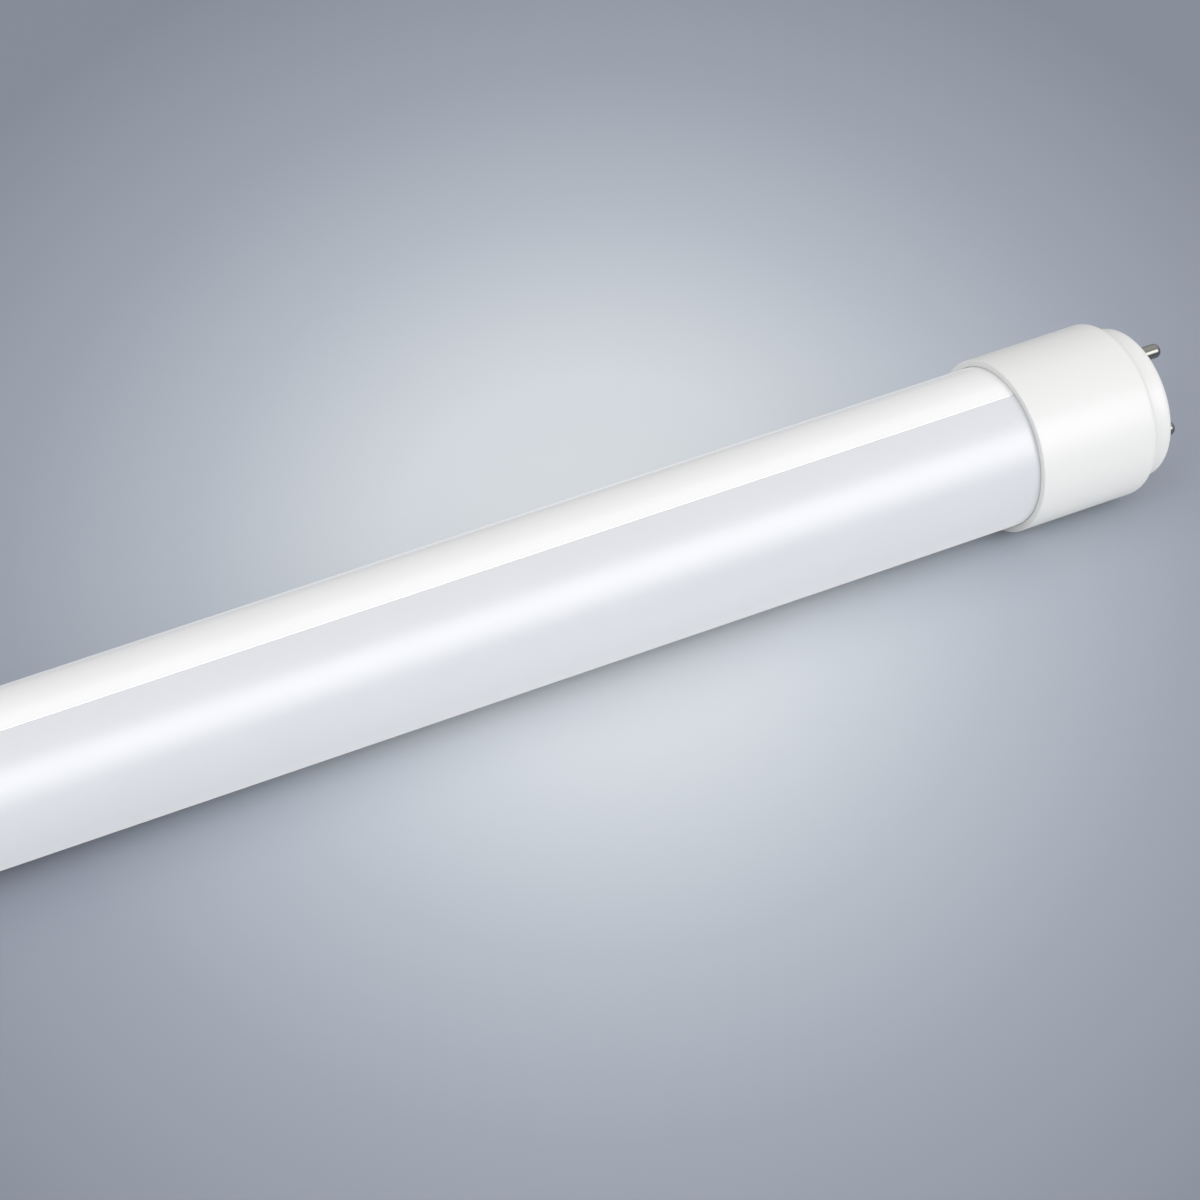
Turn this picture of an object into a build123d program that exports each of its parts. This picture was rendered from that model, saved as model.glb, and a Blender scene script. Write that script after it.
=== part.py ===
from build123d import *
import os
from math import cos, degrees, radians, sin, sqrt

os.makedirs("parts", exist_ok=True)

# Sizes are in mm. X runs along the lamp, the light leaves towards -Y, and Z is up.
# The origin is the middle of the lamp, on the axis of its tube.

# Lamp: standard sizes of a 600 mm tube with a two-pin base at each end
face_to_face = 589.0
pin_pitch = 12.7
pin_diameter = 2.35
pin_reach = 7.5
tube_diameter = 25.8

# Tube: an aluminium back and a diffusing window that snap into one round tube
window_half_angle = 64.5
housing_wall = 1.0
window_wall = 1.1
seam_gap = 0.12
tongue_thickness = 0.8
tongue_gap = 0.08
tongue_lap = 1.5
tongue_root = 1.3
snap_radius = 0.3
snap_from_tip = 0.6
shelf_face = -2.6
shelf_thickness = 1.2
shelf_setback = 4.5
rail_thickness = 0.8
rail_overlap = 0.8
slide_clearance = 0.15

# Light board and its row of light-emitting chips
board_width = 12.0
board_thickness = 1.0
board_setback = 5.0
chip_count = 48
chip_length = 3.5
chip_width = 2.8
chip_height = 0.7
chip_rim = 0.35
chip_recess = 0.15
chip_end_margin = 10.5

# End cap and the base disc that carries the pins
cap_wall = 0.85
cap_length = 22.4
cap_clearance = 0.25
cap_end_wall = 1.4
cap_shoulder_radius = 1.3
cap_lip_edge = 0.25
cap_lip_chamfer = 0.35
base_rise = 4.2
base_step = 1.9
base_edge_radius = 1.3
base_wall = 1.2
base_face_wall = 1.8
base_flange_thickness = 1.6
base_clearance = 0.12
base_play = 0.1
boss_wall = 1.0
boss_length = 2.6
web_thickness = 1.2
web_height = 1.4

# Hollow contact pins, on a base that stands turned in its cap, from Z towards +Y
base_turn = 20.0
pin_fit = 0.03
pin_shank_step = 0.35
pin_tip_radius = 1.0
pin_bore = 1.5
pin_bore_depth = 3.5
pin_collar_wall = 0.45
pin_collar_length = 0.8

# Countersunk screws that hold each cap to the aluminium back
screw_diameter = 2.0
screw_head_diameter = 3.6
screw_length = 4.2
screw_sink = 0.15
screw_clearance = 0.05
screw_inset = 9.0
screw_half_angle = 28.0
slot_width = 0.45
slot_length = 2.0
slot_depth = 0.6

# Driver: the supply board in its insulating sleeve behind the shelf
driver_setback = 22.0
driver_thickness = 1.0
solder_space = 1.4
sleeve_clearance = 0.3
sleeve_wall = 0.3
sleeve_overhang = 5.0
part_headroom = 1.3
lead_diameter = 0.6
lead_clearance = 0.15
lead_tail = 0.9
wire_diameter = 1.2
wire_gap = 0.05
wire_pad = 5.0
wire_hole_clearance = 2.2
wire_bend_radius = 2.0
supply_wire_bend = 2.5
supply_wire_turn = 1.7
supply_wire_rise = 6.3
light_wire_pitch = 6.0

# Driver parts by their distance in from the supply end of the board and their height in Z
fuse_place = (15.0, 6.2)
fuse_length = 8.0
fuse_diameter = 3.0
fuse_lead_pitch = 12.0
varistor_place = (13.0, -4.6)
varistor_diameter = 6.0
varistor_thickness = 2.6
varistor_lead_pitch = 4.0
varistor_edge = 0.87
film_place = (29.0, 3.6)
film_length = 10.0
film_width = 4.8
film_lead_pitch = 7.5
rectifier_place = (28.0, -5.2)
rectifier_length = 4.7
rectifier_width = 3.9
rectifier_height = 2.4
inductor_place = (63.0, 0.0)
inductor_waist = 0.66
inductor_flange = 1.2
winding_clearance = 0.1
controller_place = (76.0, 0.0)
controller_length = 4.9
controller_width = 3.9
controller_height = 1.4
diode_place = (76.0, 6.4)
diode_length = 4.4
diode_width = 2.6
diode_height = 2.1
foil_pitch = 1.27
foil_width = 0.42
foil_reach = 1.05
foil_height = 0.25
mould_draft = 4.0
input_can_start = 37.0
input_can_length = 15.0
output_can_start = 86.0
output_can_length = 13.0
output_can_margin = 15.0
film_height_share = 0.8
can_lead_pitch = 3.5
can_crimp_depth = 0.45
can_crimp_from_end = 2.2
can_edge = 0.6
can_lead_run = 1.8
can_lead_bend = 0.9

# Places that several pieces share
tube_radius = tube_diameter / 2
chamber_radius = tube_radius - housing_wall
cap_bore = tube_radius + cap_clearance
cap_radius = cap_bore + cap_wall
base_radius = cap_radius - base_step
pin_radius = pin_diameter / 2
shank_radius = pin_radius + pin_shank_step
face_x = face_to_face / 2
lip_x = face_x - base_rise - cap_length
tube_end_x = lip_x + cap_length - cap_end_wall - base_flange_thickness - base_play
tube_length = 2 * tube_end_x
shelf_back = shelf_face + shelf_thickness
board_face = shelf_face - board_thickness
board_length = tube_length - 2 * board_setback
driver_length = output_can_start + output_can_length + output_can_margin
driver_start_x = lip_x - driver_setback
driver_end_x = driver_start_x - driver_length
sleeve_inner_radius = chamber_radius - sleeve_clearance - sleeve_wall
sleeve_flat = shelf_back + sleeve_clearance
driver_face = sleeve_flat + sleeve_wall + solder_space + driver_thickness
tall_part = sleeve_inner_radius - driver_face - part_headroom
wire_radius = wire_diameter / 2
wire_rest = driver_face + wire_radius + wire_gap
wire_hole_x = driver_end_x - sleeve_overhang - 2 * wire_bend_radius
pin_across = pin_pitch / 2 * sin(radians(base_turn))
pin_up = pin_pitch / 2 * cos(radians(base_turn))
pin_rear = -(base_face_wall + boss_length + pin_collar_length)


def finish(node, name):
    """Name a finished piece and write it to its own file."""
    node.part.label = name
    export_step(node.part, f"parts/{name}.step")


def cross_plane(x):
    """The plane across the lamp at x, with Y to the right and Z up."""
    return Plane(origin=(x, 0, 0), x_dir=(0, 1, 0), z_dir=(1, 0, 0))


def end_plane(side, reach):
    """The plane across one end, at a reach outwards from that cap's lip."""
    return Plane(origin=(side * (lip_x + reach), 0, 0), x_dir=(0, 1, 0), z_dir=(side, 0, 0))


def base_plane(side, reach):
    """The same plane, turned as the base stands in its cap: its second axis is the pins' line."""
    x_dir = (0, cos(radians(base_turn)), -sin(radians(base_turn)))
    return Plane(origin=(side * (lip_x + reach), 0, 0), x_dir=x_dir, z_dir=(side, 0, 0))


def axial_plane(side, reach=0.0, across=0.0, height=0.0):
    """A plane along the lamp: first coordinate outwards, second along Y."""
    return Plane(
        origin=(side * (lip_x + reach), across, height),
        x_dir=(side, 0, 0),
        z_dir=(0, 0, side),
    )


def ring_sector(inner, outer, start, end):
    """A sector of a ring between two radii and two angles in degrees from +Y."""
    with BuildSketch(mode=Mode.PRIVATE) as sector:
        with BuildLine():
            arc_out = CenterArc((0, 0), outer, start, end - start)
            arc_in = CenterArc((0, 0), inner, start, end - start)
            Line(arc_out @ 0, arc_in @ 0)
            Line(arc_out @ 1, arc_in @ 1)
        make_face()
    return sector.sketch


def degrees_along(length, radius):
    """The angle in degrees that a length along an arc of this radius takes up."""
    return degrees(length / radius)


# Angles are measured from +Y, so the window is centred on 180 degrees
seam_high = 180 - window_half_angle
seam_low = 180 + window_half_angle
tongue_outer = chamber_radius - tongue_gap
tongue_inner = tongue_outer - tongue_thickness
tongue_angle = degrees_along(tongue_lap, tongue_outer)
root_angle = degrees_along(tongue_root, tongue_outer)
gap_angle = degrees_along(seam_gap, tube_radius)
snap_angle = degrees_along(tongue_lap - snap_from_tip, tongue_outer)
snap_spots = [
    Vector(tongue_outer, 0).rotate(Axis.Z, seam_high - snap_angle),
    Vector(tongue_outer, 0).rotate(Axis.Z, seam_low + snap_angle),
]
screw_angles = (-screw_half_angle, screw_half_angle)
light_wire_heights = (-light_wire_pitch / 2, light_wire_pitch / 2)


def screw_planes(side):
    """The planes on the cap's round wall that the screw heads sink into."""
    seat = cap_radius - screw_sink
    planes = []
    for angle in screw_angles:
        outward = Vector(0, cos(radians(angle)), sin(radians(angle)))
        place = outward * seat + Vector(side * (lip_x + screw_inset), 0, 0)
        planes.append(Plane(origin=place, x_dir=(1, 0, 0), z_dir=outward))
    return planes


# Aluminium back: a round wall, a shelf across it, rails for the light board and snap grooves
with BuildPart() as rear_housing:
    with BuildSketch(cross_plane(-tube_end_x)) as housing_section:
        add(ring_sector(chamber_radius, tube_radius, seam_low - 360, seam_high))
        shelf_reach = sqrt((tube_radius - housing_wall / 2) ** 2 - shelf_face**2)
        with Locations((shelf_face + shelf_thickness / 2, 0)):
            Rectangle(shelf_thickness, 2 * shelf_reach)
        rail_inner = board_width / 2 + slide_clearance
        rail_height = board_thickness + slide_clearance + rail_thickness
        for way in (-1, 1):
            with Locations((shelf_face - rail_height / 2, way * (rail_inner + rail_thickness / 2))):
                Rectangle(rail_height + rail_thickness, rail_thickness)
            hook_middle = way * (rail_inner + (rail_thickness - rail_overlap) / 2)
            with Locations((shelf_face - rail_height + rail_thickness / 2, hook_middle)):
                Rectangle(rail_thickness, rail_thickness + rail_overlap)
        with Locations(*snap_spots):
            Circle(snap_radius + tongue_gap, mode=Mode.SUBTRACT)
    extrude(amount=tube_length)
    for side in (-1, 1):
        with BuildSketch(Plane.YZ.offset(side * (tube_end_x - shelf_setback))):
            Circle(chamber_radius)
        extrude(amount=side * shelf_setback, mode=Mode.SUBTRACT)
        with Locations(*screw_planes(side)):
            Hole(screw_diameter / 2 + pin_fit, depth=cap_radius - chamber_radius + housing_wall)
    shelf_top = Plane(origin=(wire_hole_x, shelf_back, 0), x_dir=(1, 0, 0), z_dir=(0, 1, 0))
    with Locations(shelf_top):
        with Locations(*[(0, height) for height in light_wire_heights]):
            Hole((wire_diameter + wire_hole_clearance) / 2, depth=shelf_thickness)
finish(rear_housing, "rear_housing")

# Diffusing window: the missing arc of the tube, with a tongue along each edge that snaps in
with BuildPart() as diffuser_window:
    with BuildSketch(cross_plane(-tube_end_x)):
        wall_inner = tube_radius - window_wall
        add(ring_sector(wall_inner, tube_radius, seam_high + gap_angle, seam_low - gap_angle))
        for start, end in (
            (seam_high - tongue_angle, seam_high + root_angle),
            (seam_low - root_angle, seam_low + tongue_angle),
        ):
            add(ring_sector(tongue_inner, tongue_outer, start, end))
        for start, end in (
            (seam_high + gap_angle, seam_high + root_angle),
            (seam_low - root_angle, seam_low - gap_angle),
        ):
            add(ring_sector(tongue_inner, wall_inner + tongue_gap, start, end))
        with Locations(*snap_spots):
            Circle(snap_radius)
    extrude(amount=tube_length)
finish(diffuser_window, "diffuser_window")

# Light board: a strip that slides in the rails, with two holes for its supply wires
with BuildPart() as light_board:
    with BuildSketch(cross_plane(-board_length / 2)):
        with Locations((board_face + board_thickness / 2, 0)):
            Rectangle(board_thickness, board_width)
    extrude(amount=board_length)
    board_top = Plane(origin=(wire_hole_x, shelf_face, 0), x_dir=(1, 0, 0), z_dir=(0, 1, 0))
    with Locations(board_top):
        with Locations(*[(0, height) for height in light_wire_heights]):
            Hole((wire_diameter + wire_hole_clearance) / 2, depth=board_thickness)
finish(light_board, "light_board")

# Chips: white packages in one row, each with a shallow window for its phosphor
chip_pitch = (board_length - 2 * chip_end_margin) / (chip_count - 1)
chip_plane = Plane(origin=(0, board_face, 0), x_dir=(-1, 0, 0), z_dir=(0, -1, 0))
with BuildPart() as light_chips:
    with BuildSketch(chip_plane):
        with GridLocations(chip_pitch, 0, chip_count, 1):
            Rectangle(chip_length, chip_width)
    extrude(amount=chip_height)
    with BuildSketch(chip_plane.offset(chip_height)):
        with GridLocations(chip_pitch, 0, chip_count, 1):
            Rectangle(chip_length - 2 * chip_rim, chip_width - 2 * chip_rim)
    extrude(amount=-chip_recess, mode=Mode.SUBTRACT)
finish(light_chips, "light_chips")


def make_end_cap(side, name):
    """A turned cap: a bore over the tube, an end wall and a rounded shoulder."""
    opening = base_radius + base_clearance
    wall_back = cap_length - cap_end_wall
    with BuildPart() as cap:
        with BuildSketch(axial_plane(side)) as profile:
            with BuildLine():
                Polyline(
                    (0, cap_bore + cap_lip_chamfer),
                    (0, cap_radius),
                    (cap_length, cap_radius),
                    (cap_length, opening),
                    (wall_back, opening),
                    (wall_back, cap_bore),
                    (cap_lip_chamfer, cap_bore),
                    close=True,
                )
            make_face()
            rim_corners = profile.vertices().group_by(Axis.Y)[-1].sort_by(Axis.X)
            fillet(rim_corners[-1], cap_shoulder_radius)
            chamfer(profile.vertices().group_by(Axis.Y)[-1].sort_by(Axis.X)[0], cap_lip_edge)
        revolve(axis=Axis.X)
        with Locations(*screw_planes(side)):
            CounterSinkHole(
                screw_diameter / 2 + screw_clearance,
                screw_head_diameter / 2 + screw_clearance,
                depth=cap_radius - cap_bore,
            )
    finish(cap, name)


def make_pin_base(side, name):
    """A moulded cup: a flange behind the cap's end wall, a face and two bosses for the pins."""
    flange_back = cap_length - cap_end_wall - base_flange_thickness
    flange_front = cap_length - cap_end_wall
    face = cap_length + base_rise
    face_back = face - base_face_wall
    cup_radius = base_radius - base_wall
    with BuildPart() as base:
        with BuildSketch(axial_plane(side)) as profile:
            with BuildLine():
                Polyline(
                    (flange_back, cup_radius),
                    (flange_back, cap_bore - base_clearance),
                    (flange_front, cap_bore - base_clearance),
                    (flange_front, base_radius),
                    (face, base_radius),
                    (face, 0),
                    (face_back, 0),
                    (face_back, cup_radius),
                    close=True,
                )
            make_face()
            outer_corner = profile.vertices().group_by(Axis.X)[-1].sort_by(Axis.Y)[-1]
            fillet(outer_corner, base_edge_radius)
        revolve(axis=Axis.X)
        with BuildSketch(base_plane(side, face_back - boss_length)):
            with GridLocations(0, pin_pitch, 1, 2):
                Circle(shank_radius + pin_fit + boss_wall)
        extrude(amount=boss_length + base_face_wall / 2)
        with BuildSketch(base_plane(side, face_back - web_height)):
            Rectangle(web_thickness, pin_pitch)
        extrude(amount=web_height + base_face_wall / 2)
        with BuildSketch(base_plane(side, face)):
            with GridLocations(0, pin_pitch, 1, 2):
                Circle(shank_radius + pin_fit)
        extrude(amount=-(base_face_wall + boss_length), mode=Mode.SUBTRACT)
    finish(base, name)


def make_pin(side, way, name):
    """A drawn pin: a rounded tip, a thicker shank in its boss, a rolled collar and a wire bore."""
    collar_radius = shank_radius + pin_collar_wall
    collar_front = pin_rear + pin_collar_length
    across, height = way * pin_across, way * pin_up
    with BuildPart() as pin:
        with BuildSketch(axial_plane(side, cap_length + base_rise, across, height)) as profile:
            with BuildLine():
                Polyline(
                    (pin_rear, pin_bore / 2),
                    (pin_rear, collar_radius),
                    (collar_front, collar_radius),
                    (collar_front, shank_radius),
                    (0, shank_radius),
                    (0, pin_radius),
                    (pin_reach, pin_radius),
                    (pin_reach, 0),
                    (pin_rear + pin_bore_depth, 0),
                    (pin_rear + pin_bore_depth, pin_bore / 2),
                    close=True,
                )
            make_face()
            tip_corner = profile.vertices().group_by(Axis.X)[-1].sort_by(Axis.Y)[-1]
            fillet(tip_corner, pin_tip_radius)
        revolve(axis=Axis((0, across, height), (1, 0, 0)))
    finish(pin, name)


def make_cap_screws(side, name):
    """Two countersunk screws with cross slots, driven through the cap into the back."""
    head_height = (screw_head_diameter - screw_diameter) / 2
    with BuildPart() as screws:
        with Locations(*screw_planes(side)):
            Cylinder(screw_diameter / 2, screw_length, align=(Align.CENTER, Align.CENTER, Align.MAX))
            Cone(
                screw_diameter / 2,
                screw_head_diameter / 2,
                head_height,
                align=(Align.CENTER, Align.CENTER, Align.MAX),
            )
            for slot in ((slot_length, slot_width), (slot_width, slot_length)):
                Box(
                    *slot,
                    slot_depth,
                    align=(Align.CENTER, Align.CENTER, Align.MAX),
                    mode=Mode.SUBTRACT,
                )
    finish(screws, name)


# The two ends are the same: the one at +X holds the supply side
for side, end in ((1, "supply"), (-1, "far")):
    make_end_cap(side, f"{end}_end_cap")
    make_pin_base(side, f"{end}_pin_base")
    make_cap_screws(side, f"{end}_cap_screws")
    for way, level in ((1, "upper"), (-1, "lower")):
        make_pin(side, way, f"{end}_{level}_pin")

# Driver parts stand on this plane: inwards along the lamp, then Z, then height off the board
driver_plane = Plane(origin=(driver_start_x, driver_face, 0), x_dir=(-1, 0, 0), z_dir=(0, 1, 0))

# Sleeve: a drawn film tube that follows the round chamber and the flat shelf
with BuildPart() as driver_sleeve:
    with BuildSketch(cross_plane(driver_end_x - sleeve_overhang)):
        Circle(chamber_radius - sleeve_clearance)
        with Locations((sleeve_flat + tube_radius, 0)):
            Rectangle(2 * tube_radius, 2 * tube_radius, mode=Mode.INTERSECT)
        offset(amount=-sleeve_wall, kind=Kind.INTERSECTION, mode=Mode.SUBTRACT)
    extrude(amount=driver_length + 2 * sleeve_overhang)
finish(driver_sleeve, "driver_sleeve")

# Every lead of the driver's parts, by its place on the board
lead_radius = lead_diameter / 2
can_radius = tall_part / 2
lead_end = -(driver_thickness + lead_tail)
upright_leads = {
    "fuse": [(fuse_place[0] + way * fuse_lead_pitch / 2, fuse_place[1]) for way in (-1, 1)],
    "varistor": [
        (varistor_place[0], varistor_place[1] + way * varistor_lead_pitch / 2) for way in (-1, 1)
    ],
    "film": [(film_place[0] + way * film_lead_pitch / 2, film_place[1]) for way in (-1, 1)],
    "inductor": [(inductor_place[0] + way * can_radius / 2, inductor_place[1]) for way in (-1, 1)],
}
can_leads = [
    (start - can_lead_run, way * can_lead_pitch / 2)
    for start in (input_can_start, output_can_start)
    for way in (-1, 1)
]
lead_spots = [spot for spots in upright_leads.values() for spot in spots] + can_leads

# Driver board, drilled for every lead, its corners clear of the round sleeve
driver_half_width = sqrt((sleeve_inner_radius - slide_clearance) ** 2 - driver_face**2)
with BuildPart() as driver_board:
    with BuildSketch(driver_plane):
        with Locations((driver_length / 2, 0)):
            Rectangle(driver_length, 2 * driver_half_width)
        with Locations(*lead_spots):
            Circle(lead_radius + lead_clearance, mode=Mode.SUBTRACT)
    extrude(amount=-driver_thickness)
finish(driver_board, "driver_board")

# Fusible resistor: a lying body on two bent leads
fuse_lift = fuse_diameter / 2 + lead_diameter
with BuildPart(driver_plane) as fuse_resistor:
    with Locations((*fuse_place, fuse_lift)):
        Cylinder(fuse_diameter / 2, fuse_length, rotation=(0, 90, 0))
    chamfer(fuse_resistor.edges().filter_by(GeomType.CIRCLE), lead_diameter)
    for spot in upright_leads["fuse"]:
        inner_x = fuse_place[0] + (spot[0] - fuse_place[0]) * fuse_length / fuse_lead_pitch
        with BuildLine(driver_plane) as lead_path:
            FilletPolyline(
                (inner_x, spot[1], fuse_lift),
                (spot[0], spot[1], fuse_lift),
                (spot[0], spot[1], lead_end),
                radius=can_lead_bend,
            )
        with BuildSketch(Plane(origin=lead_path.line @ 0, z_dir=lead_path.line % 0)):
            Circle(lead_radius)
        sweep(path=lead_path.line)
finish(fuse_resistor, "fuse_resistor")

# Varistor: a coated disc on edge, on two straight leads
with BuildPart(driver_plane) as surge_varistor:
    with Locations((*varistor_place, varistor_diameter / 2 + lead_diameter)):
        Cylinder(varistor_diameter / 2, varistor_thickness, rotation=(0, 90, 0))
    chamfer(surge_varistor.edges().filter_by(GeomType.CIRCLE), varistor_edge)
    with BuildSketch(driver_plane.offset(lead_end)):
        with Locations(*upright_leads["varistor"]):
            Circle(lead_radius)
    extrude(amount=varistor_diameter / 2 + lead_diameter - lead_end)
finish(surge_varistor, "surge_varistor")

# Film capacitor: a potted box on two straight leads
with BuildPart() as film_capacitor:
    with BuildSketch(driver_plane):
        with Locations(film_place):
            RectangleRounded(film_length, film_width, lead_radius)
    extrude(amount=tall_part * film_height_share)
    with BuildSketch(driver_plane.offset(lead_end)):
        with Locations(*upright_leads["film"]):
            Circle(lead_radius)
    extrude(amount=-lead_end)
finish(film_capacitor, "film_capacitor")


def make_surface_part(place, length, width, height, feet, name):
    """A moulded chip body with flat feet along both long sides."""
    with BuildPart() as chip:
        with BuildSketch(driver_plane.offset(foil_height)):
            with Locations(place):
                Rectangle(length, width)
        extrude(amount=height - foil_height, taper=mould_draft)
        with BuildSketch(driver_plane):
            with Locations(place):
                with GridLocations(foil_pitch, width + foil_reach, feet, 2):
                    Rectangle(foil_width, foil_reach)
        extrude(amount=foil_height)
        with BuildSketch(driver_plane):
            with Locations(place):
                with GridLocations(foil_pitch, width, feet, 2):
                    Rectangle(foil_width, foil_width)
        extrude(amount=2 * foil_height)
    finish(chip, name)


make_surface_part(
    rectifier_place, rectifier_length, rectifier_width, rectifier_height, 2, "bridge_rectifier"
)
make_surface_part(
    controller_place, controller_length, controller_width, controller_height, 4, "driver_controller"
)
make_surface_part(diode_place, diode_length, diode_width, diode_height, 1, "output_diode")


def make_can_capacitor(start, length, name):
    """A lying aluminium can with a crimp round its open end and two bent leads."""
    can_plane = Plane(
        origin=(driver_start_x - start, driver_face + can_radius, 0),
        x_dir=(-1, 0, 0),
        z_dir=(0, 0, 1),
    )
    crimp = can_crimp_from_end
    with BuildPart() as can:
        with BuildSketch(can_plane) as profile:
            with BuildLine():
                Polyline(
                    (0, 0),
                    (0, can_radius - can_edge),
                    (crimp - 2 * can_crimp_depth, can_radius),
                    (crimp, can_radius - can_crimp_depth),
                    (crimp + 2 * can_crimp_depth, can_radius),
                    (length, can_radius),
                    (length, 0),
                    close=True,
                )
            make_face()
            closed_corner = profile.vertices().group_by(Axis.X)[-1].sort_by(Axis.Y)[-1]
            chamfer(closed_corner, can_edge)
        revolve(axis=Axis(can_plane.origin, can_plane.x_dir))
        for way in (-1, 1):
            height = way * can_lead_pitch / 2
            with BuildLine(driver_plane) as lead_path:
                FilletPolyline(
                    (start, height, can_radius),
                    (start - can_lead_run, height, can_radius),
                    (start - can_lead_run, height, lead_end),
                    radius=can_lead_bend,
                )
            with BuildSketch(Plane(origin=lead_path.line @ 0, z_dir=lead_path.line % 0)):
                Circle(lead_radius)
            sweep(path=lead_path.line)
    finish(can, name)


make_can_capacitor(input_can_start, input_can_length, "input_capacitor")
make_can_capacitor(output_can_start, output_can_length, "output_capacitor")

# Inductor: a ferrite drum on two leads, and the copper wound on its waist
waist_radius = can_radius * inductor_waist
with BuildPart() as inductor_core:
    with BuildSketch(driver_plane):
        with Locations(inductor_place):
            Circle(can_radius)
    extrude(amount=tall_part)
    with BuildSketch(driver_plane.offset(inductor_flange)):
        with Locations(inductor_place):
            Circle(can_radius)
            Circle(waist_radius, mode=Mode.SUBTRACT)
    extrude(amount=tall_part - 2 * inductor_flange, mode=Mode.SUBTRACT)
    with BuildSketch(driver_plane.offset(lead_end)):
        with Locations(*upright_leads["inductor"]):
            Circle(lead_radius)
    extrude(amount=-lead_end)
finish(inductor_core, "inductor_core")

with BuildPart() as inductor_winding:
    with BuildSketch(driver_plane.offset(inductor_flange + winding_clearance)):
        with Locations(inductor_place):
            Circle((can_radius + waist_radius) / 2)
            Circle(waist_radius + winding_clearance, mode=Mode.SUBTRACT)
    extrude(amount=tall_part - 2 * (inductor_flange + winding_clearance))
finish(inductor_winding, "inductor_winding")


def make_wire(points, bend, name):
    """An insulated wire: a round section swept along straight runs and arcs."""
    with BuildPart() as wire:
        with BuildLine() as route:
            FilletPolyline(*points, radius=bend)
        with BuildSketch(Plane(origin=route.line @ 0, z_dir=route.line % 0)):
            Circle(wire_radius)
        sweep(path=route.line)
    finish(wire, name)


# Supply wires: from the bore of each pin at the supply end back to the driver board
wire_start_x = face_x + pin_rear + pin_bore_depth - wire_gap
wire_turn_x = face_x + pin_rear - supply_wire_turn
for way, name in ((1, "upper_supply_wire"), (-1, "lower_supply_wire")):
    make_wire(
        (
            (wire_start_x, way * pin_across, way * pin_up),
            (wire_turn_x, way * pin_across, way * pin_up),
            (wire_turn_x - supply_wire_rise, wire_rest, way * pin_up),
            (driver_start_x - wire_pad, wire_rest, way * pin_up),
        ),
        supply_wire_bend,
        name,
    )

# Light wires: from the driver's inner end through the shelf to the face of the light board
light_wire_rest = board_face - wire_radius - wire_gap
for height, name in zip(light_wire_heights, ("negative_light_wire", "positive_light_wire")):
    make_wire(
        (
            (driver_end_x + wire_pad, wire_rest, height),
            (wire_hole_x, wire_rest, height),
            (wire_hole_x, light_wire_rest, height),
            (wire_hole_x - wire_pad, light_wire_rest, height),
        ),
        wire_bend_radius,
        name,
    )

# Link: the far pins carry no supply, so one loop of wire joins them inside the cup
far_wire_x = -wire_start_x
link_x = -(face_x + pin_rear - 2 * wire_diameter)
make_wire(
    (
        (far_wire_x, pin_across, pin_up),
        (link_x, pin_across, pin_up),
        (link_x, -pin_across, -pin_up),
        (far_wire_x, -pin_across, -pin_up),
    ),
    wire_bend_radius,
    "far_pin_link",
)
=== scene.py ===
from math import cos, pi, radians, sin

import bmesh
import bpy
import numpy as np
from mathutils import Matrix, Vector
from mathutils.geometry import tessellate_polygon


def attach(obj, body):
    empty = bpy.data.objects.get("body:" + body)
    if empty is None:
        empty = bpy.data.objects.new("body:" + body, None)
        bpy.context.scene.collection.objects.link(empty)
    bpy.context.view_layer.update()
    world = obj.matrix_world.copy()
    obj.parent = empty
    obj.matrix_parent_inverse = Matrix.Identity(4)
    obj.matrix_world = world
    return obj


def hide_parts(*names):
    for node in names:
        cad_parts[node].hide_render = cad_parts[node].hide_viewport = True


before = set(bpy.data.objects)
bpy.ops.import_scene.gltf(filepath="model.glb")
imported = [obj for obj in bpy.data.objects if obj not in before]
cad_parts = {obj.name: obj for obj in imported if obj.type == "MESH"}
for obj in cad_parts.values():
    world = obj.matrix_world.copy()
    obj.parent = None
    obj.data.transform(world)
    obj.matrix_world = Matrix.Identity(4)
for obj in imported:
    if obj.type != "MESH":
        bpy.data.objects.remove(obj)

print("frame loaded:", len(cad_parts), "CAD nodes")
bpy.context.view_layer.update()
scene = bpy.context.scene
mm = 0.001
sharpAngle = radians(32)  # a steeper turn than this between two faces is drawn as an edge


# Small tools for shapes

def unit(v):
    return v / np.maximum(np.linalg.norm(v, axis=-1, keepdims=True), 1e-12)


def arc(radius, start, end, steps):
    # points of a circle about the origin: (radius cos a, radius sin a) for a from start to end, in degrees
    a = np.radians(np.linspace(start, end, steps))
    return radius * np.stack([np.cos(a), np.sin(a)], axis=1)


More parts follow.
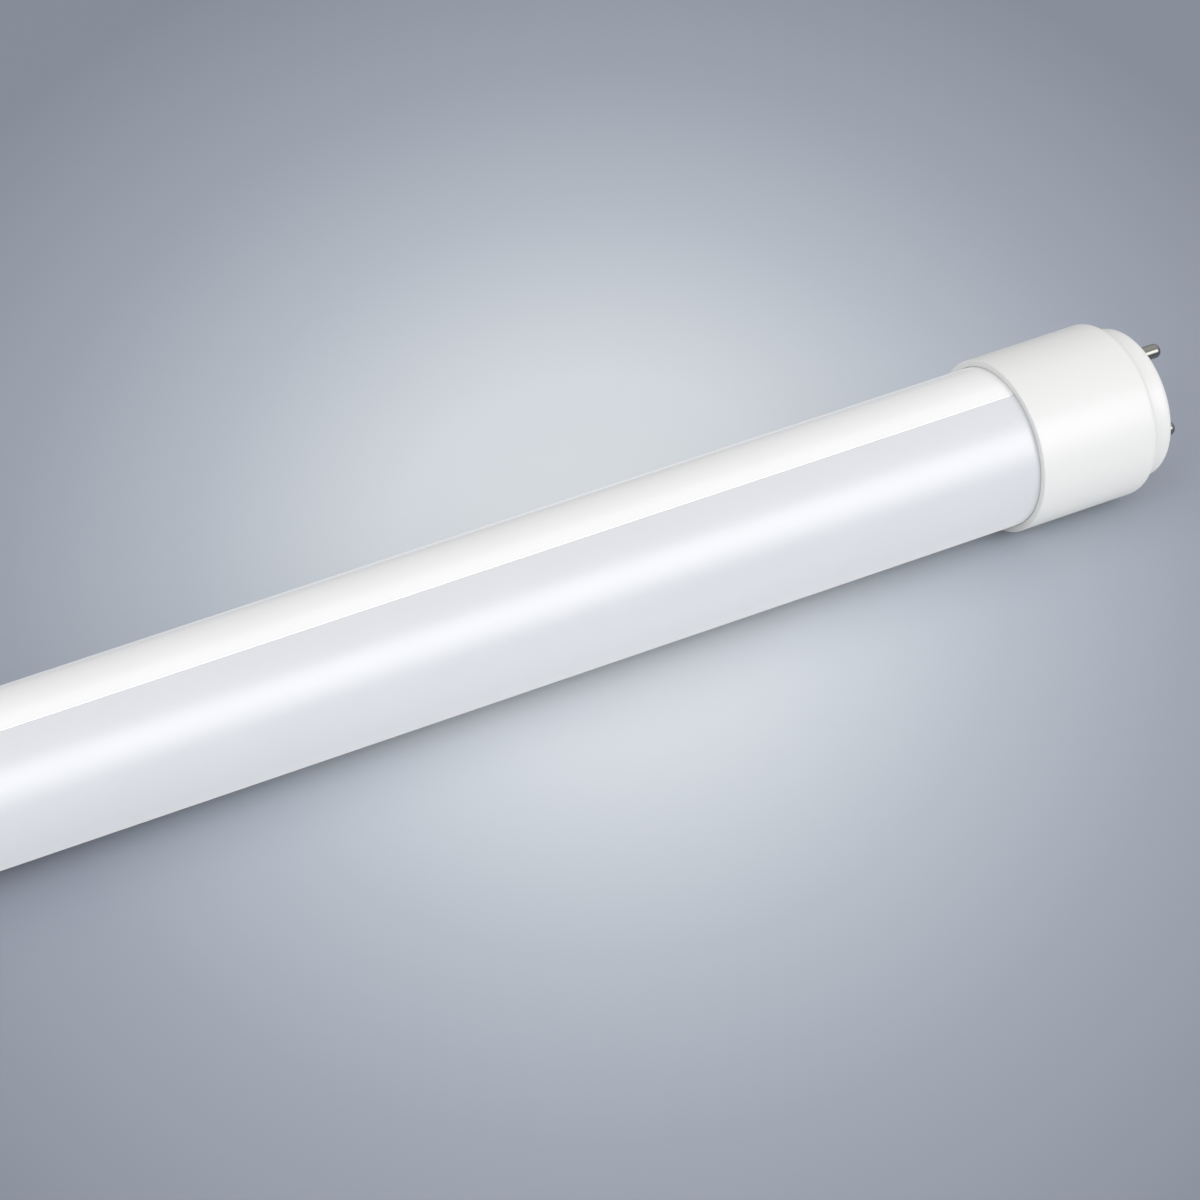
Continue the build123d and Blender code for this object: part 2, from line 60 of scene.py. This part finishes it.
def roundedLoop(points, radii, steps=6):
    # Each corner of a closed line becomes an arc. The arc's centre lies on the corner's bisector,
    # radius / sin(half angle) away, and it meets both edges radius / tan(half angle) from the corner.
    # A radius of 0 keeps the corner. Points that fall together are left out.
    p = np.asarray(points, float)
    r = np.broadcast_to(np.asarray(radii, float), len(p))[:, None]
    toLast = unit(np.roll(p, 1, axis=0) - p)
    toNext = unit(np.roll(p, -1, axis=0) - p)
    half = np.arccos(np.clip((toLast * toNext).sum(1), -1, 1))[:, None] / 2
    back = r / np.maximum(np.tan(half), 1e-6)
    centre = p + unit(toLast + toNext) * r / np.maximum(np.sin(half), 1e-6)
    first, last = p + toLast * back - centre, p + toNext * back - centre
    a0 = np.arctan2(first[:, 1], first[:, 0])
    turn = (np.arctan2(last[:, 1], last[:, 0]) - a0 + pi) % (2 * pi) - pi
    a = a0[:, None] + turn[:, None] * np.linspace(0, 1, steps)
    loop = centre[:, None] + r[:, :, None] * np.stack([np.cos(a), np.sin(a)], axis=2)
    loop = np.where(r[:, :, None] > 0, loop, p[:, None]).reshape(-1, 2)
    far = np.linalg.norm(loop - np.roll(loop, 1, axis=0), axis=1) > 1e-5
    return loop[far]


def putInMesh(name, verts, faces, material):
    # points in mm become a smooth mesh in metres, with its normals outward
    mesh = bpy.data.meshes.new(name)
    mesh.from_pydata((verts * mm).tolist(), [], faces)
    b = bmesh.new()
    b.from_mesh(mesh)
    bmesh.ops.remove_doubles(b, verts=b.verts, dist=1e-7)
    bmesh.ops.recalc_face_normals(b, faces=b.faces)
    b.to_mesh(mesh)
    b.free()
    mesh.shade_smooth()
    mesh.set_sharp_from_angle(angle=sharpAngle)
    mesh.materials.append(material)
    piece = bpy.data.objects.new(name, mesh)
    scene.collection.objects.link(piece)
    return piece


def gridFaces(rows, columns, closeRows=True):
    # quads between each grid point and the next one in both directions, with the columns closed into rings
    i = np.arange(rows if closeRows else rows - 1)[:, None]
    j = np.arange(columns)[None, :]
    ni, nj = (i + 1) % rows, (j + 1) % columns
    quads = np.stack([i * columns + j, i * columns + nj, ni * columns + nj, ni * columns + j], axis=2)
    return quads.reshape(-1, 4).tolist()


def turned(name, profile, material, side=1, across=0.0, height=0.0, segments=160):
    # A closed profile (x, r) turned about a line along X: (side x, across + r cos a, height + r sin a)
    a = np.linspace(0, 2 * pi, segments, endpoint=False)
    x, r = profile[:, :1], profile[:, 1:]
    verts = np.stack([side * x + 0 * a, across + r * np.cos(a), height + r * np.sin(a)], axis=2)
    return putInMesh(name, verts.reshape(-1, 3), gridFaces(len(profile), segments), material)


def drawnOut(name, loops, halfLength, material):
    # Closed loops (y, z) carried along X from -halfLength to +halfLength.
    # The first is the outside, and the others are holes.
    verts, faces, flat, count = [], [], [], 0
    for loop in loops:
        n = len(loop)
        ends = [np.column_stack([np.full(n, x), loop]) for x in (-halfLength, halfLength)]
        verts += ends
        faces += (np.array(gridFaces(2, n, closeRows=False)) + count).tolist()
        flat += [(count + k, count + n + k) for k in range(n)]
        count += 2 * n
    caps = tessellate_polygon([[Vector((0, *p)) for p in loop] for loop in loops])
    for end in (0, 1):
        faces += [[flat[k][end] for k in tri] for tri in caps]
    return putInMesh(name, np.concatenate(verts), faces, material)


def cutAway(piece, cutters):
    # exact boolean cuts, kept as the piece's own mesh
    for cutter in cutters:
        step = piece.modifiers.new("cut", "BOOLEAN")
        step.operation, step.solver, step.object = "DIFFERENCE", "EXACT", cutter
    made = bpy.data.meshes.new_from_object(piece.evaluated_get(bpy.context.evaluated_depsgraph_get()))
    piece.modifiers.clear()
    piece.data = made
    piece.data.set_sharp_from_angle(angle=sharpAngle)
    for cutter in cutters:
        bpy.data.objects.remove(cutter)


# Small tools for materials

def linear(hexColour):
    # sRGB hex to the linear values that Blender's colour sockets take
    c = np.array([int(hexColour[k:k + 2], 16) for k in (1, 3, 5)]) / 255
    c = np.where(c <= 0.04045, c / 12.92, ((c + 0.055) / 1.055) ** 2.4)
    return (*c.tolist(), 1.0)


def addNode(tree, kind, settings=None, **inputs):
    # One node: settings are its properties. Inputs are its sockets by name, or by number as in i0, and each is
    # set to a value or linked to another node's socket.
    node = tree.nodes.new(kind)
    for key, value in (settings or {}).items():
        setattr(node, key, value)
    for key, value in inputs.items():
        socket = node.inputs[int(key[1:])] if key[1:].isdigit() else node.inputs[key.replace("_", " ")]
        if isinstance(value, bpy.types.NodeSocket):
            tree.links.new(value, socket)
        else:
            socket.default_value = value
    return node


def newMaterial(name, colour, roughness, metallic=0.0, grain=0.5, stretch=(1, 1, 1), bump=0.02,
                roughnessSpread=0.06, colourSpread=0.03, cloud=14, relief=0.2, **constants):
    # A finish with two noises at real sizes in mm. The broad one (cloud) changes colour and roughness a little.
    # The fine one (grain) lifts the surface by a share of its own size (relief), and stretch lengthens it along
    # an axis, as drawing or extruding does.
    material = bpy.data.materials.new(name)
    material.use_nodes = True
    tree = material.node_tree
    tree.nodes.clear()
    place = addNode(tree, "ShaderNodeTexCoord").outputs["Object"]
    scaled = addNode(tree, "ShaderNodeMapping", Vector=place, Scale=[1 / (grain * mm * s) for s in stretch])
    fine = addNode(tree, "ShaderNodeTexNoise", Vector=scaled.outputs[0], Scale=1.0, Detail=3.0)
    broad = addNode(tree, "ShaderNodeTexNoise", Vector=place, Scale=1 / (cloud * mm), Detail=2.0)
    rough = addNode(tree, "ShaderNodeMapRange", Value=broad.outputs[0], To_Min=roughness - roughnessSpread / 2,
                    To_Max=roughness + roughnessSpread / 2)
    base = linear(colour)
    dark = [c * (1 - colourSpread) for c in base[:3]] + [1.0]
    tint = addNode(tree, "ShaderNodeMix", {"data_type": "RGBA"}, i0=broad.outputs[0], i6=dark, i7=base)
    lift = addNode(tree, "ShaderNodeBump", Strength=bump, Distance=grain * mm * relief, Height=fine.outputs[0])
    shader = addNode(tree, "ShaderNodeBsdfPrincipled", Base_Color=tint.outputs[2], Roughness=rough.outputs[0],
                     Metallic=metallic, Normal=lift.outputs[0], **constants)
    addNode(tree, "ShaderNodeOutputMaterial", Surface=shader.outputs[0])
    return material


# Pearl powder coat on extruded aluminium: white, with a metal-like shine from its mica and a faint orange peel
backFinish = dict(colour="#F5F5F5", roughness=0.22, metallic=0.22, grain=0.9, bump=0.04, Coat_Weight=0.6,
                  Coat_Roughness=0.1, Sheen_Weight=0.7, Sheen_Roughness=0.5)
# Extruded milky polycarbonate: satin, with faint draw lines along the tube and the light edges of a cloudy plastic
windowFinish = dict(colour="#D3D5DA", roughness=0.35, grain=0.5, stretch=(60, 1, 1), bump=0.02, IOR=1.585,
                    Specular_IOR_Level=1.0, Sheen_Weight=1.0, Sheen_Roughness=0.5)
# Moulded white polycarbonate: clean and fairly glossy, with a trace of mould texture
capFinish = dict(colour="#E4E4E3", roughness=0.37, grain=0.35, bump=0.03, IOR=1.585, colourSpread=0.015)
# Bright nickel on drawn brass: grey shine with fine lines along the pin
pinFinish = dict(colour="#94938F", roughness=0.16, metallic=1.0, grain=0.12, stretch=(30, 1, 1), bump=0.05)
# Zinc-plated steel, cold headed: a dull blue-grey shine
screwFinish = dict(colour="#B4B7BA", roughness=0.36, metallic=1.0, grain=0.2, bump=0.06)

powderCoat = newMaterial("pearlCoatedAluminium", **backFinish)
milkyWindow = newMaterial("milkyPolycarbonate", **windowFinish)
mouldedWhite = newMaterial("mouldedWhitePolycarbonate", **capFinish)
nickelBrass = newMaterial("nickelPlatedBrass", **pinFinish)
zincSteel = newMaterial("zincPlatedSteel", **screwFinish)

# What is inside: the CAD's own shapes, each with the finish of its real part
insideFinishes = {
    # white solder mask over glass cloth, whose weave shows faintly
    "whiteSolderMask": (dict(colour="#E8E9E4", roughness=0.45, grain=0.5, bump=0.08), ["light_board"]),
    # silicone with yellow phosphor, cast in a white package
    "phosphorSilicone": (dict(colour="#E9CF62", roughness=0.4, grain=0.08, bump=0.1), ["light_chips"]),
    # drawn polyester film, smooth and shiny
    "polyesterFilm": (dict(colour="#CFD6DB", roughness=0.18, grain=0.6, stretch=(20, 1, 1)), ["driver_sleeve"]),
    # green solder mask over copper tracks
    "greenSolderMask": (dict(colour="#1F5C38", roughness=0.4, grain=0.5, bump=0.1, colourSpread=0.2), ["driver_board"]),
    # dipped epoxy coats: thick, a little uneven
    "resistorCoat": (dict(colour="#8CA597", roughness=0.4, grain=0.7, bump=0.15), ["fuse_resistor"]),
    "varistorCoat": (dict(colour="#1E4A82", roughness=0.35, grain=0.9, bump=0.2), ["surge_varistor"]),
    # a moulded case filled with resin
    "pottedCase": (dict(colour="#B4301F", roughness=0.3, grain=0.4, bump=0.05), ["film_capacitor"]),
    # moulded black epoxy, matt from the mould's spark texture
    "blackEpoxy": (dict(colour="#1B1B1C", roughness=0.55, grain=0.06, bump=0.15),
                   ["bridge_rectifier", "driver_controller", "output_diode"]),
    # heat-shrunk sleeve on a drawn can
    "shrinkSleeve": (dict(colour="#16202A", roughness=0.25, grain=0.8, bump=0.05),
                     ["input_capacitor", "output_capacitor"]),
    # pressed and sintered ferrite: dark grey, fine grained
    "sinteredFerrite": (dict(colour="#2E2F31", roughness=0.6, grain=0.1, bump=0.25), ["inductor_core"]),
    # enamelled copper wire in close turns
    "enamelledCopper": (dict(colour="#B5653A", roughness=0.28, metallic=1.0, grain=0.3, stretch=(1, 1, 0.4), bump=0.5),
                        ["inductor_winding"]),
    # extruded silicone rubber: soft and slightly dull
    "siliconeInsulation": (dict(colour="#DADAD2", roughness=0.5, grain=0.3, bump=0.08),
                           ["upper_supply_wire", "lower_supply_wire", "negative_light_wire", "positive_light_wire",
                            "far_pin_link"]),
}


def dress(node, material):
    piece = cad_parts[node]
    piece.data.materials.clear()
    piece.data.materials.append(material)


for name, (finish, nodes) in insideFinishes.items():
    material = newMaterial(name, **finish)
    for node in nodes:
        dress(node, material)
for end in ("supply", "far"):
    dress(end + "_pin_base", mouldedWhite)
    dress(end + "_cap_screws", zincSteel)
print("materials:", len(bpy.data.materials))

# The tube: a white aluminium back and a milky window

tube = {
    "radius": 12.9, "halfLength": 287.2, "seam": 115.5, "seamGap": 0.03, "backEdge": 0.32, "windowEdge": 0.05,
    "wall": 1.0, "shelfFace": -2.6, "shelfBack": -1.4,
    "railInner": 6.15, "railOuter": 6.95, "railFoot": -4.55, "hookInner": 5.35, "hookTop": -3.75,
    "windowWall": 1.1, "tongueOuter": 11.82, "tongueInner": 11.02, "tongueTip": 7.28, "tongueRoot": 6.3,
    "snapAngle": 4.36, "snapRadius": 0.3, "snapGap": 0.08, "shelfSetback": 4.5, "shelfCut": 11.85, "cutPast": 1,
    # points on each arc of the two sections
    "backSteps": 120, "chamberSteps": 24, "lapSteps": 6, "frontSteps": 60, "underSteps": 50, "tongueSteps": (5, 4, 12),
}


def halfRound(radius, at, size, steps=9):
    # a half circle of this size on a circle's line, at an angle in degrees: the snap bead or its groove
    centre = radius * np.array([cos(radians(at)), sin(radians(at))])
    a = np.radians(at) + np.linspace(-pi / 2, pi / 2, steps)
    return centre + size * np.stack([np.cos(a), np.sin(a)], axis=1)


def tubeBack(t):
    # Section: the outer arc, the rounded seam edge, the inner arc with its snap groove, the shelf and the hooked rail
    chamber = t["radius"] - t["wall"]
    atFace = np.degrees(np.arccos(t["shelfFace"] / chamber))
    atBack = np.degrees(np.arccos(t["shelfBack"] / chamber))
    outside = arc(t["radius"], 0, t["seam"], t["backSteps"])
    grooveAt = t["seam"] - t["snapAngle"]
    groove = halfRound(chamber, grooveAt, t["snapRadius"] + t["snapGap"])
    grooveHalf = np.degrees((t["snapRadius"] + t["snapGap"]) / chamber)
    inside = np.concatenate([arc(chamber, t["seam"], grooveAt + grooveHalf, t["lapSteps"]), groove[::-1],
                             arc(chamber, grooveAt - grooveHalf, atFace, t["chamberSteps"])])
    rail = np.array([
        (t["shelfFace"], t["railOuter"]), (t["railFoot"], t["railOuter"]), (t["railFoot"], t["hookInner"]),
        (t["hookTop"], t["hookInner"]), (t["hookTop"], t["railInner"]), (t["shelfFace"], t["railInner"]),
    ])
    half = np.concatenate([outside[1:], inside, rail])
    radii = np.zeros(len(half))
    radii[len(outside) - 2] = t["backEdge"]
    loop = np.concatenate([outside[:1], half, (half * [1, -1])[::-1]])
    corners = np.concatenate([[0], radii, radii[::-1]])
    hole = arc(chamber, -atBack, atBack, t["backSteps"])
    return [roundedLoop(loop, corners), hole]


def tubeWindow(t):
    # Section: the outer arc, and a tongue at each edge that lies behind the back's wall with its bead
    start = t["seam"] + t["seamGap"]
    onLap, onTip, onInside = t["tongueSteps"]
    outside = arc(t["radius"], 180, start, t["frontSteps"])
    tip, root = t["seam"] - t["tongueTip"], t["seam"] + t["tongueRoot"]
    beadAt = t["seam"] - t["snapAngle"]
    beadHalf = np.degrees(t["snapRadius"] / t["tongueOuter"])
    bead = halfRound(t["tongueOuter"], beadAt, t["snapRadius"])
    tongue = np.concatenate([arc(t["tongueOuter"], start, beadAt + beadHalf, onLap), bead[::-1],
                             arc(t["tongueOuter"], beadAt - beadHalf, tip, onTip)])
    under = np.concatenate([arc(t["tongueInner"], tip, root, onInside),
                            arc(t["radius"] - t["windowWall"], root, 180, t["underSteps"])])
    half = np.concatenate([outside[1:], tongue, under[:-1]])
    radii = np.zeros(len(half))
    radii[len(outside) - 2] = t["windowEdge"]
    loop = np.concatenate([outside[:1], half, under[-1:], (half * [1, -1])[::-1]])
    corners = np.concatenate([[0], radii, [0], radii[::-1]])
    return [roundedLoop(loop, corners)]


back = drawnOut("tube_back", tubeBack(tube), tube["halfLength"], powderCoat)
cutters = []
for side in (1, -1):
    # a round cutter, a little smaller than the wall's inside, takes the shelf and rails away where the wires pass
    start, stop = tube["halfLength"] - tube["shelfSetback"], tube["halfLength"] + tube["cutPast"]
    profile = np.array([(start, 0), (start, tube["shelfCut"]), (stop, tube["shelfCut"]), (stop, 0)])
    cutters.append(turned("cutter", profile, powderCoat, side=side, segments=96))
cutAway(back, cutters)
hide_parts("rear_housing")
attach(back, "root")
window = drawnOut("tube_window", tubeWindow(tube), tube["halfLength"], milkyWindow)
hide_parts("diffuser_window")
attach(window, "root")
print("tube: back and window")

# The caps

cap = {
    "lip": 267.9, "length": 22.4, "bore": 12.94, "radius": 14.0, "endWall": 1.4, "opening": 12.22,
    "shoulder": 1.3, "lipEdge": 0.22, "lipBevel": 0.1, "bevelEdge": 0.05, "openingEdge": 0.12,
    "screwInset": 9.0, "screwAngles": (-28.0, 28.0), "shank": 1.05, "head": 1.85, "headDepth": 0.8,
    "cutAbove": 0.6, "cutBelow": 1,
}


def capProfile(c):
    # (x, r) of the cap's wall: bore, bevelled lip, outside, rounded shoulder, end face, opening
    end, back = c["lip"] + c["length"], c["lip"] + c["length"] - c["endWall"]
    points = [(c["lip"], c["bore"] + c["lipBevel"]), (c["lip"], c["radius"]), (end, c["radius"]), (end, c["opening"]),
              (back, c["opening"]), (back, c["bore"]), (c["lip"] + c["lipBevel"], c["bore"])]
    return roundedLoop(points, [c["bevelEdge"], c["lipEdge"], c["shoulder"], c["openingEdge"], 0, 0, 0], steps=9)


def screwHole(c, side, angle):
    # the countersink as a turned cutter: a cone down to the shank's hole, turned from the axis to its place
    below, seat, top = c["bore"] - c["cutBelow"], c["radius"], c["radius"] + c["cutAbove"]
    profile = np.array([(below, 0), (below, c["shank"]), (seat - c["headDepth"], c["shank"]),
                        (seat, c["head"]), (top, c["head"]), (top, 0)])
    cutter = turned("cutter", profile, mouldedWhite, segments=48)
    spin = Matrix.Rotation(radians(angle), 4, "X") @ Matrix.Rotation(radians(90), 4, "Z")
    cutter.data.transform(Matrix.Translation((side * (c["lip"] + c["screwInset"]) * mm, 0, 0)) @ spin)
    return cutter


for side, end in ((1, "supply"), (-1, "far")):
    ring = turned(end + "_cap", capProfile(cap), mouldedWhite, side=side, segments=192)
    cutAway(ring, [screwHole(cap, side, angle) for angle in cap["screwAngles"]])
    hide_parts(end + "_end_cap")
    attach(ring, "root")
print("caps")

# The contact pins

pin = {
    "face": 294.5, "radius": 1.175, "reach": 7.5, "tip": 0.95, "shank": 1.525, "collar": 1.975,
    "collarFront": -4.4, "rear": -5.2, "bore": 0.75, "boreEnd": -1.7, "fromAxis": 6.35, "turn": 20.0,
    "collarEdge": 0.15, "footEdge": 0.06,
}


def pinProfile(p):
    # (x, r) of half a pin: the wire bore, the collar, the shank in its boss, the free pin and its rounded tip
    points = [(p["rear"], p["bore"]), (p["rear"], p["collar"]), (p["collarFront"], p["collar"]),
              (p["collarFront"], p["shank"]), (0, p["shank"]), (0, p["radius"]), (p["reach"], p["radius"]),
              (p["reach"], 0), (p["boreEnd"], 0), (p["boreEnd"], p["bore"])]
    radii = [0, p["collarEdge"], p["collarEdge"], 0, p["footEdge"], 0, p["tip"], 0, 0, 0]
    loop = roundedLoop(points, radii, steps=12)
    return loop + [p["face"], 0]


for side, end in ((1, "supply"), (-1, "far")):
    for up, level in ((1, "upper"), (-1, "lower")):
        contact = turned(f"{end}_{level}_contact", pinProfile(pin), nickelBrass, side=side,
                         across=up * pin["fromAxis"] * sin(radians(pin["turn"])),
                         height=up * pin["fromAxis"] * cos(radians(pin["turn"])), segments=64)
        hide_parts(f"{end}_{level}_pin")
        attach(contact, "root")
print("pins")

# The camera has the photograph's angle, from the tube's lines, its seam and the cap's outline

view = {
    "tilt": 29.75, "turn": -33.92, "roll": -0.13, "distance": 1346.8, "aimX": 194.0, "aimUp": -3.43, "lens": 265.14,
    "sensor": 36.0, "clip": (0.05, 50.0),
}
tilt, turn, roll = (radians(view[k]) for k in ("tilt", "turn", "roll"))
lookBack = Vector((sin(turn) * cos(tilt), -cos(turn) * cos(tilt), sin(tilt)))
level = Vector((0, 0, 1)).cross(lookBack).normalized()
upright = lookBack.cross(level)
right = level * cos(roll) + upright * sin(roll)
above = upright * cos(roll) - level * sin(roll)
eye = (Vector((view["aimX"], 0, 0)) + upright * view["aimUp"] + lookBack * view["distance"]) * mm
camera = bpy.data.objects.new("camera", bpy.data.cameras.new("camera"))
camera.data.lens = view["lens"]
camera.data.sensor_width = view["sensor"]
camera.data.clip_start, camera.data.clip_end = view["clip"]
camera.matrix_world = Matrix.Translation(eye) @ Matrix((right, above, lookBack)).transposed().to_4x4()
scene.collection.objects.link(camera)
scene.camera = camera

# Floor, light and background

# in metres, but the floor's height in mm. The floor carries a painted pool of light: its colours go from a dark rim to
# a bright middle, and its radii are those along the camera's look and across it. A lamp's strength is its radiance.
studio = {
    "floorHeight": -14.0, "floorSize": 30.0, "bounce": "#EAECEE",
    "paintedLightPool": [(0.106, "#8B919D"), (0.37, "#A1A7B3"), (0.564, "#B8BFC9"), (0.78, "#D9DEE4"), (1.0, "#E4E8EC")],
    "lightPoolCentre": 0.014, "lightPoolRadii": (0.27, 0.147),
    "domeLow": 0.4, "domeHigh": 0.94,
    "overhead": {"place": (0.74, 0.33, 0.94), "aimX": 0.74, "size": (1.0, 0.42), "strength": 0.18},
    "front": {"place": (1.4, -1.95, 1.016), "aimX": 1.4, "size": (1.7, 1.2), "strength": 3.0},
    "low": {"place": (0.6, -1.6, 0.12), "aimX": 0.3, "size": (2.6, 0.35), "strength": 1.7},
    "fill": {"place": (-1.3, -0.9, 1.1), "aimX": 0.2, "size": (1.0, 1.0), "strength": 2.2},
}

floorMesh = bpy.data.meshes.new("floor")
reach, ground = studio["floorSize"] / 2, studio["floorHeight"] * mm
corners = [(-reach, -reach, ground), (reach, -reach, ground), (reach, reach, ground), (-reach, reach, ground)]
floorMesh.from_pydata(corners, [], [(0, 1, 2, 3)])
floor = bpy.data.objects.new("floor", floorMesh)
scene.collection.objects.link(floor)

floorPaint = bpy.data.materials.new("studioFloor")
floorPaint.use_nodes = True
tree = floorPaint.node_tree
tree.nodes.clear()
place = addNode(tree, "ShaderNodeTexCoord").outputs["Object"]
# the way the camera looks along the floor, and where the middle of the picture falls on it
along = Vector((-lookBack.x, -lookBack.y)).normalized()
drop = (eye.z - ground) / lookBack.z
middle = eye - lookBack * drop
shift = studio["lightPoolCentre"]
# painted pool of light: the floor is painted lighter where the middle of the picture falls and darker towards the rim,
# as a studio light's fall-off would make it
paintedLightPool = addNode(tree, "ShaderNodeMapping", {"vector_type": "TEXTURE"}, Vector=place,
                Location=(middle.x + along.x * shift, middle.y + along.y * shift, ground),
                Rotation=(0, 0, np.arctan2(along.y, along.x)), Scale=(*studio["lightPoolRadii"], 1))
spread = addNode(tree, "ShaderNodeTexGradient", {"gradient_type": "SPHERICAL"}, Vector=paintedLightPool.outputs[0])
shade = addNode(tree, "ShaderNodeValToRGB", Fac=spread.outputs[1])
stops = shade.color_ramp.elements
for k, (at, colour) in enumerate(studio["paintedLightPool"]):
    stop = stops[k] if k < 2 else stops.new(at)
    stop.position, stop.color = at, linear(colour)
# the camera, gloss and clear rays see the floor's painted pool of light, and its light on the lamp is that of a plain
# white floor
path = addNode(tree, "ShaderNodeLightPath").outputs
mirrored = addNode(tree, "ShaderNodeMath", {"operation": "MAXIMUM"},
                   i0=path["Is Glossy Ray"], i1=path["Is Transmission Ray"])
direct = addNode(tree, "ShaderNodeMath", {"operation": "MAXIMUM"}, i0=path["Is Camera Ray"], i1=mirrored.outputs[0])
seen = addNode(tree, "ShaderNodeMix", {"data_type": "RGBA"}, i0=direct.outputs[0],
               i6=linear(studio["bounce"]), i7=shade.outputs[0])
matt = addNode(tree, "ShaderNodeBsdfDiffuse", Color=seen.outputs[2])
addNode(tree, "ShaderNodeOutputMaterial", Surface=matt.outputs[0])
floorMesh.materials.append(floorPaint)

world = bpy.data.worlds.new("studio")
world.use_nodes = True
scene.world = world
tree = world.node_tree
tree.nodes.clear()
# the dome gets brighter from the horizon to the top
direction = addNode(tree, "ShaderNodeSeparateXYZ", Vector=addNode(tree, "ShaderNodeTexCoord").outputs["Generated"])
dome = addNode(tree, "ShaderNodeMapRange", Value=direction.outputs["Z"],
               To_Min=studio["domeLow"], To_Max=studio["domeHigh"])
light = addNode(tree, "ShaderNodeBackground", Color=dome.outputs[0], Strength=1.0)
addNode(tree, "ShaderNodeOutputWorld", Surface=light.outputs[0])

for name in ("overhead", "front", "low", "fill"):
    s = studio[name]
    lamp = bpy.data.lights.new(name, "AREA")
    lamp.shape = "RECTANGLE"
    lamp.size, lamp.size_y = s["size"]
    lamp.energy = s["strength"] * pi * s["size"][0] * s["size"][1]  # radiance times pi times area
    softbox = bpy.data.objects.new(name, lamp)
    softbox.location = s["place"]
    aim = Vector((s["aimX"], 0, 0)) - Vector(s["place"])
    softbox.rotation_mode = "QUATERNION"
    softbox.rotation_quaternion = aim.to_track_quat("-Z", "Y")
    scene.collection.objects.link(softbox)

scene.view_settings.view_transform = "Standard"
print("studio")
